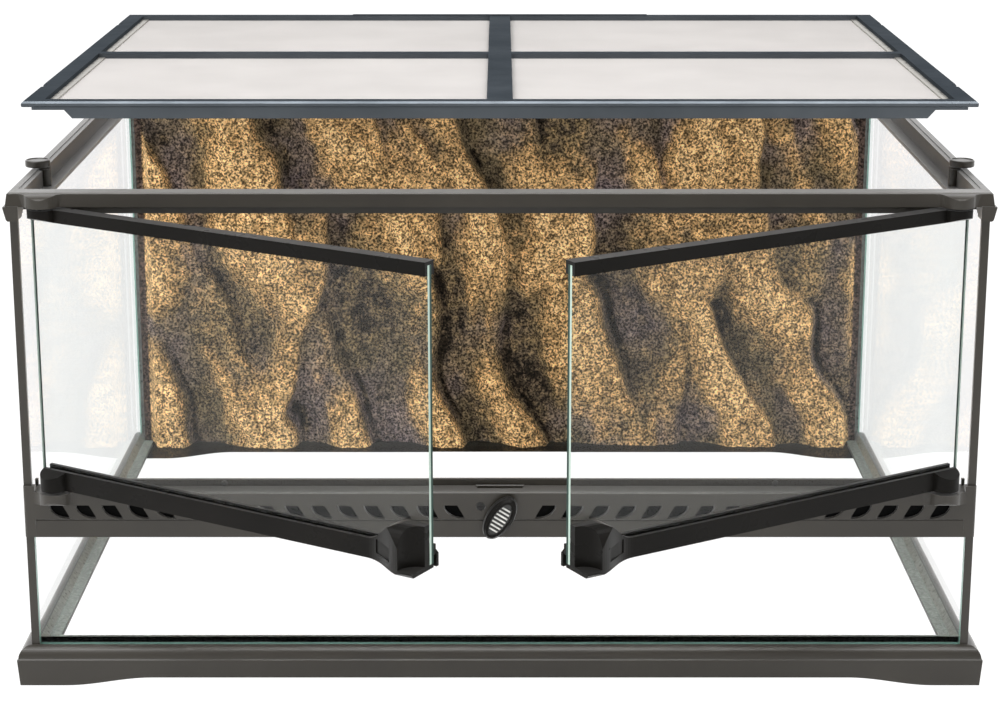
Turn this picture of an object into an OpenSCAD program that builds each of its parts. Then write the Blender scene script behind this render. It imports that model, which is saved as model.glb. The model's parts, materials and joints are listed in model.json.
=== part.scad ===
// Front-opening glass terrarium: a sealed glass tank in a moulded base and top frame,
// two hinged doors over a slotted vent bar, a rock-relief back panel and a lift-off mesh lid.
// Millimetres, +Z up, the doors face -Y, origin on the floor under the middle of the tank.

/* [Tank] */
// Width over the side panes
glass_w = 600; // [480:10:900]
// Depth over the front and back panes
glass_d = 450; // [360:10:600]
// Height of the top frame's upper face
tank_h = 321; // [290:1:450]
// Thickness of the fixed panes
pane_t = 5; // [4:0.5:6]
// Leg of the silicone bead in the corners
seal_leg = 4; // [2:0.5:6]

/* [Base] */
// How far the skirt stands out past the panes
skirt_out = 8.5; // [6.5:0.5:12]
// Height of the skirt's straight face
skirt_h = 17.5; // [15:0.5:24]
// Height of the rounded shoulder over the skirt
shoulder_h = 8; // [6:0.5:10]
// Thickness of the skirt's wall
skirt_wall = 3.5; // [2.5:0.5:5]
// Width of the ledge that carries the panes
seat_w = 14; // [10:0.5:20]
// Thickness of that ledge
seat_t = 3.5; // [2.5:0.5:5]
// Rise of the arch between two feet
arch_rise = 5.5; // [2:0.5:9]
// Length of a foot
foot_l = 30; // [20:1:60]
// Length of the curve from a foot up to its arch
ogee_l = 56; // [20:1:90]

/* [Vent bar] */
// Height of the bar's lower edge
bar_z = 99; // [60:1:130]
// Height of the bar's front face
bar_h = 30; // [26:0.5:40]
// Thickness of the bar's walls
bar_wall = 2.3; // [1.8:0.1:3]
// Height of the door stop along the bar's back edge
bar_lip_h = 4.3; // [3:0.1:6]
// How deep the front pane reaches into the bar
pane_grip = 5.4; // [4:0.2:7]
// Width of one vent slot
slot_w = 12.5; // [8:0.5:14]
// Height of one vent slot
slot_h = 8.2; // [5:0.2:10]
// Distance from one slot to the next
slot_pitch = 16.6; // [15:0.1:24]
// Distance from the middle of the bar to the first slot
slot_start = 22.4; // [20:0.1:40]

/* [Top frame] */
// Height of the frame's outer band
band_h = 8.7; // [7:0.1:12]
// How far the band stands out past the side panes
band_side = 2; // [1.5:0.1:4]
// How far the band stands out past the front and back panes
band_front = 3; // [2.5:0.1:5]
// Width of the front bar's upper face
front_bar_w = 12.8; // [11:0.1:16]
// Width of the side rails' upper face
side_bar_w = 9.2; // [8.5:0.1:12]
// Width of the rear bar's upper face
rear_bar_w = 20; // [18:0.5:26]
// Depth of the recess that takes the lid
recess_h = 11; // [9:0.1:14]
// Width of the ledge in the side recess
side_ledge_w = 7.5; // [6:0.1:10]

/* [Doors] */
// Angle at which both doors stand open
door_open = 31; // [0:1:75]
// Thickness of the door glass
door_glass_t = 4; // [3:0.5:5]
// Thickness of the door rails
rail_t = 9; // [8:0.2:11]
// Height of the upper door rail
top_rail_h = 8; // [6:0.2:12]
// Height of the lower door rail
low_rail_h = 12.3; // [9:0.2:15]
// Gap between the two doors when they are shut
door_gap = 3; // [2:0.1:5]
// Distance from the tank's side to the hinge axis
hinge_in = 20; // [19:0.5:26]
// Radius of the hinge eye on a rail
eye_r = 9; // [7.5:0.1:10]
// Height of the lower hinge eye at its front
low_eye_h = 8.8; // [7:0.2:9]
// Height of the upper hinge eye at its front
top_eye_h = 4.8; // [3.6:0.2:6]
// Radius of a hinge pin
pin_r = 2; // [1.5:0.1:2.2]
// Length of the flared grip
grip_l = 42; // [34:1:60]
// How far the grip stands out from its rail
grip_out = 16.5; // [12:0.5:20]
// Height of the grip
grip_h = 27.3; // [20:0.1:34]
// Radius of the finger scoop
scoop_r = 12; // [8:0.5:13]

/* [Lock] */
// Height of the lock's spindle over the bar's lower edge
lock_up = 14.5; // [13:0.5:16]
// Length of the oval knob
knob_l = 31; // [24:1:33]
// Width of the oval knob
knob_w = 17; // [13:0.5:19]
// Tilt of the knob from upright
knob_tilt = 32; // [0:1:60]
// Radius of the lock's spindle
spindle_r = 3; // [2:0.1:3.5]

/* [Lid] */
// How far the lid is lifted off its seat
lid_lift = 54; // [0:1:120]
// Thickness of the lid's rim
rim_t = 3.5; // [3:0.1:5]
// Width of the lid's side rails
lid_rail_w = 12.8; // [11:0.1:18]
// Width of the lid's front and rear rails
lid_end_w = 10; // [8:0.1:16]
// Width of the bar from front to back
lid_centre_w = 16; // [8:0.5:24]
// Width of the bar from side to side
lid_mid_w = 10; // [6:0.5:20]
// Radius of the notches that clear the lid locks
notch_r = 8.6; // [8.6:0.1:9.5]
// Distance from the panes' front or back to a pair of lid locks
lock_in = 75; // [65:5:135]
// Radius of a lid lock's disc
disc_r = 8; // [7:0.1:8]

/* [Back panel] */
// Thickness of the back panel at its ridges
panel_t = 34; // [24:1:50]
// Number of rock ridges across the panel
ridges = 9; // [4:1:14]

/* [Hidden] */
$fn = 48;

fit = 0.1;        // clearance round a glued or clipped piece
seat = 0.3;       // gap under a piece that only rests there
running = 0.05;   // radial clearance of a turning pin
far = 1;          // how far a cutting tool runs past the face it cuts
sliver = 0.01;    // thickness of a slice that only spans a tapered cut
steps = 10;       // segments of a drawn quarter curve

half_w = glass_w / 2;
half_d = glass_d / 2;

// Base
base_x = half_w + skirt_out;
base_y = half_d + skirt_out - 0.5;
skirt_draft = 1.2;                 // the skirt narrows by this much at the floor
bead = 0.8;                        // small step between the skirt and its shoulder
seat_z = skirt_h + 2.5;            // top of the ledge under the panes
shoulder_z = skirt_h + shoulder_h;
floor_z = seat_z + pane_t;         // top of the bottom pane

// Panes
pane_top = tank_h - 5;
post_t = 3;
inner_x = half_w - pane_t;
inner_y = half_d - pane_t;

// Vent bar
bar_y = -half_d - 2.4;             // front face
bar_top = bar_z + bar_h;
bar_in = bar_y + bar_wall;         // back of the front wall
stop_y = bar_y + 13.2;             // front of the door stop
lip_t = 2.4;
bar_end_x = half_w + 0.3;
web_z = bar_z + pane_grip + 0.3;
groove_z = bar_z + 11.6;           // parting groove along the face
slot_z = bar_z + 12.6;
slot_bevel = 0.9;
cap_rise = 3.5;                    // the end caps stand up past the ledge
slot_margin = 15.5;
bar_gap = 0.1;                     // the bar ends this far from the side panes
slots = floor((half_w - slot_margin - slot_start - slot_w) / slot_pitch) + 1;
hinge_zone = hinge_in + 16;        // the door stops end this far from the tank's side

// Top frame
band_z = tank_h - band_h;
band_x = half_w + band_side;
band_y = half_d + band_front;
ledge_z = tank_h - recess_h;
ledge_t = 2.6;
recess_x = band_x - side_bar_w;
recess_front = -band_y + front_bar_w;
recess_rear = band_y - rear_bar_w;
open_x = recess_x - side_ledge_w;
open_front = recess_front + 7.7;
open_rear = recess_rear - 6;
frame_low = ledge_z - ledge_t - 1.4;
skirt_low = tank_h - 12.7;         // lower edge of the outer flange
flange_end = 12;                   // the flange is deeper this near to a corner
band_draft = 1.2;                  // the band leans back this much up to its edge
edge_cut = 0.8;
step_w = 3.2;                      // shallow step along the lid's recess
step_t = 0.5;
corner_h = 9;
corner_out = 1.4;
corner_draft = 1.8;
corner_cut = 1;
corner_l = 8;                      // length of a corner block along the side

// Hinges, measured from the tank
axis_x = half_w - hinge_in;
axis_y = -half_d - 1;
boss_r = eye_r + 1;
boss_fillet = 7;
boss_h = 8;
low_blend = 5;                     // height over which a seat's lower end curves back
top_blend = 3;
pin_in = 7;                        // how deep a pin sits in its boss
pin_cover = 1.2;                   // eye left over the end of a pin
washer_r = 4.5;

// Doors, measured from the hinge axis
rail_v = 0.1;                      // front face of the rails
glass_v = rail_v + (rail_t - door_glass_t) / 2;
glass_beyond = 11.5;               // glass past the hinge axis
rail_beyond = eye_r - 0.4;         // rails past the hinge axis
free_u = axis_x - door_gap / 2;
rail_low = bar_top + 1.7;
rail_high = band_z - 1.3;
rail_web = 2.5;
door_bottom = rail_low + rail_web + fit;
door_top = rail_high - rail_web + 0.2;
back_lip = 1.3;                    // the rail's rear wall stands this much higher
grip_top = rail_low + grip_h;
nose_z = rail_low + 7.6;           // top of the grip's upright front
nose_v = rail_v - 3.3;             // where the rounded front meets the flat top
scoop_floor = 2.9;
scoop_in = 2;                      // the scoop's axis lies this far behind the grip's tip
facet_z = rail_low + 4.8;
facet_h = 8.5;
strike_t = 2.2;
strike_l = 23;
strike_h = 10;
strike_z = rail_low - 0.2;
strike_bite = 15;                  // length of the pocket in front of the strike

// Lock
lock_z = bar_z + lock_up;
knob_t = 9;
cam_t = 2;
cam_reach = bar_top + 3.5 - lock_z;
cam_hub_r = 5.5;
finger_w = 7;
cam_front = stop_y - 5;            // front face of the cam
cam_slot_t = cam_t + 0.8;
cam_slot_x = 14.4;
slot_rim_t = 1;                    // raised rim behind the finger slot
slot_rim_h = 1;
screw_x = -12.1;
screw_up = 6;
screw_r = 2.7;                     // head of the cover's screw
screw_shank_r = 1.25;
mesh_start = 19;
bumper_r = 1.8;
bumper_in = 126;                   // distance from the tank's side
bumper_x = half_w - bumper_in;

// Lid
gap = 1;                           // clearance of the lid in its recess
lid_x = recess_x - gap;
lid_front = recess_front + gap;
lid_rear = recess_rear - gap;
lid_z = tank_h + lid_lift;         // top of the rim as it is shown
lid_low = recess_h - seat;         // depth of the front and rear skirts
lid_side_low = 5.5;
lid_in = 6;
lid_skirt_t = 2.2;
lid_mid_y = (lid_front + lid_rear) / 2;
// front and rear ends of the two rows of mesh fields
lid_fields = [[lid_front + lid_end_w, lid_mid_y - lid_mid_w / 2],
    [lid_mid_y + lid_mid_w / 2, lid_rear - lid_end_w]];
sheet_t = 0.8;
strip_w = 4.5;
strip_t = 1;
clamp_t = 1.3;
skirt_in = 2;                      // the front and rear skirts' distance from the rim
mesh_in = skirt_in + lid_skirt_t + 0.4;
flange_x = lid_x - 30.5;           // half length of the deep skirts
flange_slant = 6.5;
pull_x = 115;                      // half length of the raised pull
pull_h = 0.7;

// Lid locks
lock_x = recess_x - 1;             // pivot of a lid lock
lock_y = half_d - lock_in;
disc_off = 4.5;                    // the disc sits this far outward of its pivot
disc_t = 4.4;
collar_h = 1.6;
collar_r = 3.8;
stem_r = 2.2;
lock_boss_r = 3.8;

// Cable inlets in the rear bar
inlet_l = 26;
inlet_w = 7;
inlet_x = half_w - 38;             // middle of an inlet
inlet_y = recess_rear + 6;
shutter_l = inlet_l + 4;
shutter_w = inlet_w + 2.4;
shutter_t = 1.2;
shutter_lip = 0.8;
shutter_travel = shutter_l + 1;

// Back panel
panel_x = inner_x - seal_leg - seat;
panel_back = inner_y - seal_leg - seat;
panel_top = frame_low - 3;
panel_nx = 60;
panel_nz = 20;

/* Colours */
black = "#38352f";
frame_black = "#3c3933";
lid_blue = "#3d4248";
clear = [0.78, 0.88, 0.86, 0.3];
steel = "#a9a69f";
mesh_grey = "#dcd9d5";
rock = "#9a7440";
rubber = "#2b2b2b";

// ---- helpers ----

// A box from its lowest to its highest corner
module block(lo, hi) {
    translate(lo) cube(hi - lo);
}

// The children and their mirror image across the middle of the tank
module both_sides() {
    children();
    mirror([1, 0, 0]) children();
}

// Extrudes an x-z outline along Y, centred
module along_y(length) {
    rotate([90, 0, 0]) linear_extrude(height = length, center = true) children();
}

// Extrudes a y-z outline along X, centred
module along_x(length) {
    rotate([90, 0, 90]) linear_extrude(height = length, center = true) children();
}

// Points on an arc
function arc(cx, cy, r, from, to, n = steps) =
    [for (i = [0:n]) let (a = from + (to - from) * i / n) [cx + r * cos(a), cy + r * sin(a)]];

function mirrored(pts) = [for (i = [len(pts) - 1:-1:0]) [-pts[i][0], pts[i][1]]];

// A rectangular body whose four sides all have the same edge profile, given as
// [offset from the side, height] from bottom to top
module edged_form(x, y, edge) {
    side = [for (p = edge) [x + p[0], p[1]]];
    end = [for (p = edge) [y + p[0], p[1]]];
    intersection() {
        along_y(2 * y + 2 * far) polygon(concat(side, mirrored(side)));
        along_x(2 * x + 2 * far) polygon(concat(end, mirrored(end)));
    }
}

// ---- base ----

// The gap between two feet: an arch with an S-curve at each end
module arch_outline(length) {
    start = -length / 2 + foot_l;
    rise = [for (i = [0:2 * steps]) let (t = i / (2 * steps))
        [start + ogee_l * t, arch_rise * (1 - cos(180 * t)) / 2]];
    polygon(concat([[start, -far]], rise, mirrored(rise), [[-start, -far]]));
}

module base_frame() {
    crown = skirt_out - 2 * bead;
    shoulder = [for (i = [0:steps]) let (a = 90 * i / steps)
        [-bead - crown * (1 - cos(a)), skirt_h + bead + (shoulder_h - bead) * sin(a)]];
    color(black) difference() {
        edged_form(base_x, base_y, concat([[-skirt_draft, 0], [0, skirt_h]], shoulder));
        block([-half_w - fit, -half_d - fit, seat_z],
            [half_w + fit, half_d + fit, shoulder_z + far]);
        block([-half_w + seat_w, -half_d + seat_w, -far],
            [half_w - seat_w, half_d - seat_w, seat_z + far]);
        block([-base_x + skirt_wall + skirt_draft, -base_y + skirt_wall + skirt_draft, -far],
            [base_x - skirt_wall - skirt_draft, base_y - skirt_wall - skirt_draft, seat_z - seat_t]);
        along_y(2 * base_y + 2 * far) arch_outline(2 * base_x);
        along_x(2 * base_x + 2 * far) arch_outline(2 * base_y);
    }
}

// ---- panes ----

module bottom_glass() {
    color(clear)
        block([-inner_x + fit, -inner_y + fit, seat_z], [inner_x - fit, inner_y - fit, floor_z]);
}

module side_glass() {
    color(clear) block([inner_x, -half_d + post_t, seat_z], [half_w, inner_y - fit, pane_top]);
}

module left_glass() { mirror([1, 0, 0]) side_glass(); }
module right_glass() { side_glass(); }

module back_glass() {
    color(clear) block([-half_w, inner_y, seat_z], [half_w, half_d, pane_top]);
}

module front_glass() {
    color(clear)
        block([-inner_x + fit, -half_d, seat_z], [inner_x - fit, -inner_y, bar_z + pane_grip]);
}

// Black strips that cap the front edges of the side panes
module lower_posts() {
    color(black) both_sides() block([inner_x, -half_d, seat_z], [half_w, -half_d + post_t, bar_z]);
}

module upper_posts() {
    color(black) both_sides()
        block([inner_x, -half_d, bar_top + cap_rise], [half_w, -half_d + post_t, band_z - corner_h]);
}

// Right-angled bead with its corner at the origin
module bead_outline() {
    polygon([[0, 0], [-seal_leg, 0], [0, -seal_leg]]);
}

module corner_seals() {
    top = band_z - corner_h - fit;
    color(rubber) both_sides() translate([inner_x, inner_y - fit, floor_z + seal_leg])
        linear_extrude(height = top - floor_z - seal_leg) bead_outline();
}

module floor_seal() {
    color(rubber) difference() {
        block([-inner_x, -inner_y, floor_z], [inner_x, inner_y - fit, floor_z + seal_leg]);
        hull() {
            block([-inner_x + seal_leg, -inner_y + seal_leg, floor_z - sliver],
                [inner_x - seal_leg, inner_y - seal_leg, floor_z]);
            block([-inner_x, -inner_y, floor_z + seal_leg],
                [inner_x, inner_y - fit, floor_z + seal_leg + sliver]);
        }
    }
}

// ---- hinge shapes shared by the vent bar and the top frame ----

// Round seat over a hinge pin, blended into a straight face at front_y
module boss_outline(front_y) {
    drop = front_y - boss_fillet - axis_y;
    reach = sqrt(pow(boss_r + boss_fillet, 2) - pow(drop, 2));
    meet = atan2(-drop, reach);
    right = arc(axis_x + reach, front_y - boss_fillet, boss_fillet, 90, 180 - meet, 6);
    front = arc(axis_x, axis_y, boss_r, -meet, meet - 180, 2 * steps);
    left = arc(axis_x - reach, front_y - boss_fillet, boss_fillet, meet, 90, 6);
    back = front_y + bar_wall;
    polygon(concat([[axis_x + reach, back]], right, front, left, [[axis_x - reach, back]]));
}

// A hinge seat between its flat face and the height where it has curved back to the bar
module hinge_seat(front_y, flat_z, end_z, blend) {
    way = sign(end_z - flat_z);
    depth = front_y - axis_y + boss_r + fit;
    curve = [for (i = [0:steps]) let (a = 90 * i / steps)
        [front_y - depth * sin(a), end_z - way * blend * (1 - cos(a))]];
    back = front_y + bar_wall + far;
    open_z = flat_z - way * far;
    intersection() {
        translate([0, 0, min(flat_z, end_z)])
            linear_extrude(height = abs(end_z - flat_z)) boss_outline(front_y);
        along_x(2 * half_w)
            polygon(concat([[back, open_z], [back, end_z]], curve, [[front_y - depth, open_z]]));
    }
}

module pin_bore(from, to) {
    translate([axis_x, axis_y, from]) cylinder(r = pin_r + 0.02, h = to - from);
}

// ---- vent bar ----

// Leaf-shaped slot: flat top, slanted inner side, curved outer side, tip low and inward
module slot_outline(grow = 0) {
    w = slot_w + grow;
    h = slot_h + grow;
    tip = 0.08 * w;
    curve = [for (i = [0:steps]) let (a = 90 * i / steps) [tip + (w - tip) * sin(a), -h * cos(a)]];
    translate([-grow / 2, grow / 2]) polygon(concat([[0.36 * w, 0], [0, 0.04 * h - h]], curve));
}

module bar_section() {
    polygon([
        [bar_y, bar_z], [bar_y + 0.4, groove_z - 0.6], [bar_y + 0.8, groove_z - 0.4],
        [bar_y + 0.8, groove_z], [bar_y, groove_z + 0.3], [bar_y, bar_top - edge_cut],
        [bar_y + edge_cut, bar_top], [stop_y, bar_top], [stop_y, bar_top + bar_lip_h],
        [stop_y + lip_t, bar_top + bar_lip_h], [stop_y + lip_t, bar_top - bar_wall],
        [bar_in, bar_top - bar_wall], [bar_in, web_z + bar_wall],
        [-inner_y + fit + bar_wall, web_z + bar_wall], [-inner_y + fit + bar_wall, bar_z],
        [-inner_y + fit, bar_z], [-inner_y + fit, web_z], [bar_in, web_z], [bar_in, bar_z]
    ]);
}

// Rounded cap in front of a side pane's edge
module bar_end() {
    r = 2;
    translate([0, 0, bar_z]) linear_extrude(height = bar_h + cap_rise)
        polygon(concat([[inner_x - 2, -half_d + post_t - fit], [inner_x - 2, bar_y]],
            arc(bar_end_x - r, bar_y + r, r, -90, 0, 5), [[bar_end_x, -half_d + post_t - fit]]));
}

module vent_bar() {
    color(frame_black) difference() {
        union() {
            along_x(2 * (inner_x - bar_gap)) bar_section();
            both_sides() bar_end();
            both_sides() hinge_seat(bar_y, bar_top, bar_top - boss_h, low_blend);
            // rim behind the finger slot
            translate([0, cam_front + cam_slot_t - 0.3, bar_top]) along_x(2 * cam_slot_x + 2) polygon([
                [0, -fit], [0, slot_rim_h - 0.4], [0.4, slot_rim_h],
                [slot_rim_t, slot_rim_h], [slot_rim_t, -fit]]);
        }
        both_sides() for (i = [0:slots - 1])
            translate([slot_start + i * slot_pitch, bar_y, slot_z + slot_h]) {
                along_y(2 * (bar_wall + far)) slot_outline();
                along_y(2 * slot_bevel) slot_outline(slot_bevel);
            }
        // room for the low front pane
        block([-inner_x, -half_d - fit, bar_z - far], [inner_x, -half_d + post_t, web_z]);
        // the door stop makes room for the hinge ends
        both_sides() block([half_w - hinge_zone, stop_y - far, bar_top],
            [inner_x - 2, stop_y + lip_t + far, bar_top + bar_lip_h + far]);
        both_sides() pin_bore(bar_top - pin_in, bar_top + far);
        // lock: spindle bore, finger slot and screw seat
        translate([0, bar_y - far, lock_z]) rotate([-90, 0, 0])
            cylinder(r = spindle_r + running, h = bar_wall + 2 * far);
        block([-cam_slot_x, cam_front - 0.4, bar_top - bar_wall - far],
            [cam_slot_x, cam_front + cam_slot_t - 0.4, bar_top + far]);
        translate([screw_x, bar_y - far, lock_z + screw_up]) rotate([-90, 0, 0]) {
            cylinder(r = screw_r + 0.2, h = far + 1.2);
            cylinder(r = 1.4, h = bar_wall + 2 * far);
        }
    }
}

// Fine metal mesh behind the slots
module vent_mesh() {
    color(steel) both_sides() block([mesh_start, bar_in + 0.05, web_z + bar_wall + 0.05],
        [inner_x - 6, bar_in + 0.05 + sheet_t, slot_z + slot_h + 1.1]);
}

// Small pads on the door stop
module door_bumpers() {
    color(rubber) both_sides() translate([bumper_x, stop_y, bar_top + bumper_r + fit])
        rotate([90, 0, 0]) cylinder(r = bumper_r, h = 1.4);
}

// ---- top frame ----

// Tapered cap over the top of a post, outlined as seen from the front
module corner_block() {
    out = band_x + corner_out;
    inside = inner_x - 1;
    low = band_z - corner_h;
    y0 = -band_y - 0.4;
    y1 = -half_d + corner_l;
    translate([0, (y0 + y1) / 2, 0]) along_y(y1 - y0) polygon([
        [inside, low + corner_cut], [inside + corner_cut, low],
        [out - corner_draft - corner_cut, low], [out - corner_draft, low + corner_cut],
        [out, band_z - 0.6], [out, band_z], [band_x - 2, band_z + 0.4], [inside, band_z + 0.4]]);
}

// Slot through the rear bar and the undercut track of its shutter
module inlet_cut() {
    top = tank_h;
    low = top - shutter_t - shutter_lip;
    track = shutter_l + shutter_travel + 1;
    x1 = inlet_x + shutter_l / 2 + 0.5;
    block([inlet_x - inlet_l / 2, inlet_y - inlet_w / 2, frame_low - far],
        [inlet_x + inlet_l / 2, inlet_y + inlet_w / 2, top + far]);
    block([x1 - track, inlet_y - shutter_w / 2 - seat, low - seat],
        [x1, inlet_y + shutter_w / 2 + seat, top - shutter_lip]);
    block([x1 - track, inlet_y - inlet_w / 2 - seat, top - shutter_lip - far],
        [x1, inlet_y + inlet_w / 2 + seat, top + far]);
}

module top_frame() {
    color(frame_black) difference() {
        union() {
            difference() {
                edged_form(band_x, band_y, [[0, frame_low], [0, band_z],
                    [-band_draft, tank_h - edge_cut], [-band_draft - edge_cut, tank_h]]);
                block([-recess_x, recess_front, ledge_z], [recess_x, recess_rear, tank_h + far]);
                block([-recess_x - step_w, recess_front, tank_h - step_t],
                    [recess_x + step_w, recess_rear, tank_h + far]);
                block([-open_x, open_front, frame_low - far], [open_x, open_rear, tank_h]);
                // doorway under the front bar, deeper beside the hinges
                block([-inner_x + 1, -band_y - far, frame_low - far],
                    [inner_x - 1, axis_y + rail_v + rail_t + 0.4, band_z]);
                both_sides() block([half_w - hinge_zone, -band_y - far, frame_low - far],
                    [inner_x - 1, axis_y + 14.5, band_z]);
                // hollow of the front bar
                block([-half_w + hinge_zone + 2, -band_y + bar_wall, band_z - far],
                    [half_w - hinge_zone - 2, recess_front - bar_wall - 2, tank_h - bar_wall]);
                // thinner ledge behind the stop
                block([-inner_x, axis_y + rail_v + rail_t + 3, frame_low - far],
                    [inner_x, recess_rear - 2, ledge_z - ledge_t]);
            }
            both_sides() corner_block();
            both_sides() mirror([0, 1, 0]) corner_block();
            both_sides() hinge_seat(-band_y + band_draft, band_z, tank_h - edge_cut, top_blend);
            both_sides() for (y = [-lock_y, lock_y]) translate([lock_x, y, ledge_z - ledge_t])
                cylinder(r = lock_boss_r, h = recess_h + ledge_t);
        }
        // channels for the side and back panes
        both_sides() block([inner_x - fit, -half_d + post_t - fit, frame_low - corner_h],
            [half_w + fit, half_d + fit, pane_top + fit]);
        block([-half_w - fit, inner_y - fit, frame_low - corner_h],
            [half_w + fit, half_d + fit, pane_top + fit]);
        // the outer flange is cut back between the corners
        both_sides() block([half_w, -half_d + flange_end, frame_low - far],
            [band_x + far, half_d - flange_end, skirt_low]);
        block([-half_w + flange_end, half_d, frame_low - far],
            [half_w - flange_end, band_y + far, skirt_low]);
        both_sides() pin_bore(band_z - far, band_z + pin_in);
        both_sides() for (y = [-lock_y, lock_y]) translate([lock_x, y, ledge_z])
            cylinder(r = stem_r + running, h = recess_h + far);
        both_sides() inlet_cut();
    }
}

module hinge_pins() {
    color(steel) both_sides() {
        translate([axis_x, axis_y, bar_top - pin_in])
            cylinder(r = pin_r, h = rail_low + low_eye_h - pin_cover - bar_top + pin_in);
        translate([axis_x, axis_y, rail_high - top_eye_h + pin_cover])
            cylinder(r = pin_r, h = band_z + pin_in - rail_high + top_eye_h - pin_cover);
    }
}

// A sliding plate with a ribbed thumb pad, shown open
module inlet_shutter() {
    low = tank_h - shutter_t - shutter_lip;
    x0 = inlet_x - shutter_l / 2 - shutter_travel;
    color(black) {
        block([x0, inlet_y - shutter_w / 2, low],
            [x0 + shutter_l, inlet_y + shutter_w / 2, tank_h - shutter_lip - fit]);
        block([x0, inlet_y - inlet_w / 2, low + 0.5], [x0 + shutter_l, inlet_y + inlet_w / 2, tank_h]);
        for (i = [-2:2]) translate([x0 + shutter_l / 2 + 2.4 * i, inlet_y, tank_h])
            block([-0.5, -inlet_w / 2 + 0.5, -0.1], [0.5, inlet_w / 2 - 0.5, 0.6]);
    }
}

module inlet_shutter_left() { mirror([1, 0, 0]) inlet_shutter(); }
module inlet_shutter_right() { inlet_shutter(); }

// ---- back panel ----

// Depth of the rock face at a place across and up the panel, both from 0 to 1:
// leaning ridges of uneven height, parted by hollows
function ridge(x, z) =
    let (lean = x * ridges + 1.1 * z + 0.35 * sin(300 * z + 140 * x),
        main = pow(abs(sin(180 * lean)), 0.7),
        slow = 0.5 + 0.5 * sin(540 * x + 200 * z + 40),
        fine = 0.5 + 0.5 * sin(1500 * x - 420 * z))
    0.62 * main * (0.55 + 0.45 * slow) + 0.23 * slow + 0.15 * fine;

module background_panel() {
    edge_t = 0.35 * panel_t;
    row = panel_nx + 1;
    face = [for (j = [0:panel_nz], i = [0:panel_nx])
        let (x = i / panel_nx, z = j / panel_nz, rim = min(1, 12 * min(x, 1 - x)))
        [panel_x * (2 * x - 1),
         panel_back - edge_t - (panel_t - edge_t) * rim * ridge(x, z),
         floor_z + 0.2 + (panel_top - floor_z) * z]];
    rim_ids = concat([for (i = [0:panel_nx]) i], [for (j = [1:panel_nz]) j * row + panel_nx],
        [for (i = [panel_nx - 1:-1:0]) panel_nz * row + i], [for (j = [panel_nz - 1:-1:1]) j * row]);
    rim = [for (id = rim_ids) [face[id][0], panel_back, face[id][2]]];
    middle = [0, panel_back, (floor_z + panel_top) / 2];
    n = len(rim);
    first = len(face);
    cells = [for (j = [0:panel_nz - 1], i = [0:panel_nx - 1]) let (a = j * row + i)
        each [[a, a + row, a + row + 1], [a, a + row + 1, a + 1]]];
    sides = [for (k = [0:n - 1]) let (next = (k + 1) % n)
        each [[rim_ids[k], rim_ids[next], first + next, first + k],
            [first + k, first + next, first + n]]];
    color(rock) polyhedron(points = concat(face, rim, [middle]), faces = concat(cells, sides));
}

// ---- lock ----

function oval(l, w) =
    [for (i = [0:$fn - 1]) let (a = 360 * i / $fn) [w / 2 * cos(a), l / 2 * sin(a)]];

// Places children on the lock's axis, with z pointing out of the front face
module on_lock() {
    translate([0, bar_y, lock_z]) rotate([90, 0, 0]) rotate([0, 0, -knob_tilt]) children();
}

module lock_knob() {
    // height and inset of each slice of the rounded knob
    slices = [[seat, 2], [0.35 * knob_t, 0], [0.7 * knob_t, 1.2], [knob_t - 0.5, 4.5]];
    color(black) on_lock() {
        difference() {
            hull() for (s = slices) translate([0, 0, s[0]])
                linear_extrude(height = 0.5) polygon(oval(knob_l - s[1], knob_w - s[1]));
            translate([0, 0, knob_t - 1.4]) linear_extrude(height = 2)
                polygon(oval(knob_l - 7.5, knob_w - 7.5));
        }
        translate([0, 0, bar_y - cam_front]) cylinder(r = spindle_r, h = cam_front - bar_y + 1);
    }
}

// Ribbed plate set in the knob
module lock_insert() {
    l = knob_l - 7.9;
    w = knob_w - 7.9;
    color(black) on_lock() translate([0, 0, knob_t - 1.4]) {
        linear_extrude(height = 0.6) polygon(oval(l, w));
        intersection() {
            linear_extrude(height = 1.2) polygon(oval(l - 1, w - 1));
            for (i = [-3:3]) block([-w, 2.6 * i - 0.5, 0.5], [w, 2.6 * i + 0.5, 1.2]);
        }
    }
}

// Finger that turns up through the slot and holds both strikes
module lock_cam() {
    color(steel) translate([0, cam_front + cam_t, lock_z]) rotate([90, 0, 0]) difference() {
        union() {
            cylinder(r = cam_hub_r, h = cam_t);
            block([0, -finger_w / 2, 0], [cam_reach - 1.5, finger_w / 2, cam_t]);
            block([0, -finger_w / 2 + 1.5, 0], [cam_reach, finger_w / 2 - 1.5, cam_t]);
        }
        translate([0, 0, -far]) cylinder(r = 1.2, h = cam_t + far);
    }
}

// Plate behind the cam, on a sleeve round the screw
module lock_cover() {
    plate_t = 1.2;
    y0 = cam_front + cam_t + 0.3;
    color(black) difference() {
        union() {
            block([screw_x - 4, y0, web_z + bar_wall + seat],
                [cam_slot_x + 6, y0 + plate_t, bar_top - bar_wall - seat]);
            translate([screw_x, bar_in + 0.05, lock_z + screw_up]) rotate([-90, 0, 0])
                cylinder(r = 3, h = y0 - bar_in);
        }
        translate([screw_x, bar_in - far, lock_z + screw_up]) rotate([-90, 0, 0])
            cylinder(r = screw_shank_r + running, h = 20);
    }
}

module lock_screw() {
    color(steel) translate([screw_x, bar_y + 0.3, lock_z + screw_up]) rotate([-90, 0, 0]) difference() {
        union() {
            cylinder(r = screw_r, h = 0.85);
            cylinder(r = screw_shank_r, h = cam_front + cam_t - bar_y);
        }
        block([-screw_r + 0.8, -0.35, -far], [screw_r - 0.8, 0.35, 0.4]);
        block([-0.35, -screw_r + 0.8, -far], [0.35, screw_r - 0.8, 0.4]);
    }
}

// ---- lid ----

module lid_windows(z0, z1) {
    both_sides() for (y = lid_fields)
        block([lid_centre_w / 2, y[0], z0], [lid_x - lid_rail_w, y[1], z1]);
}

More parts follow.
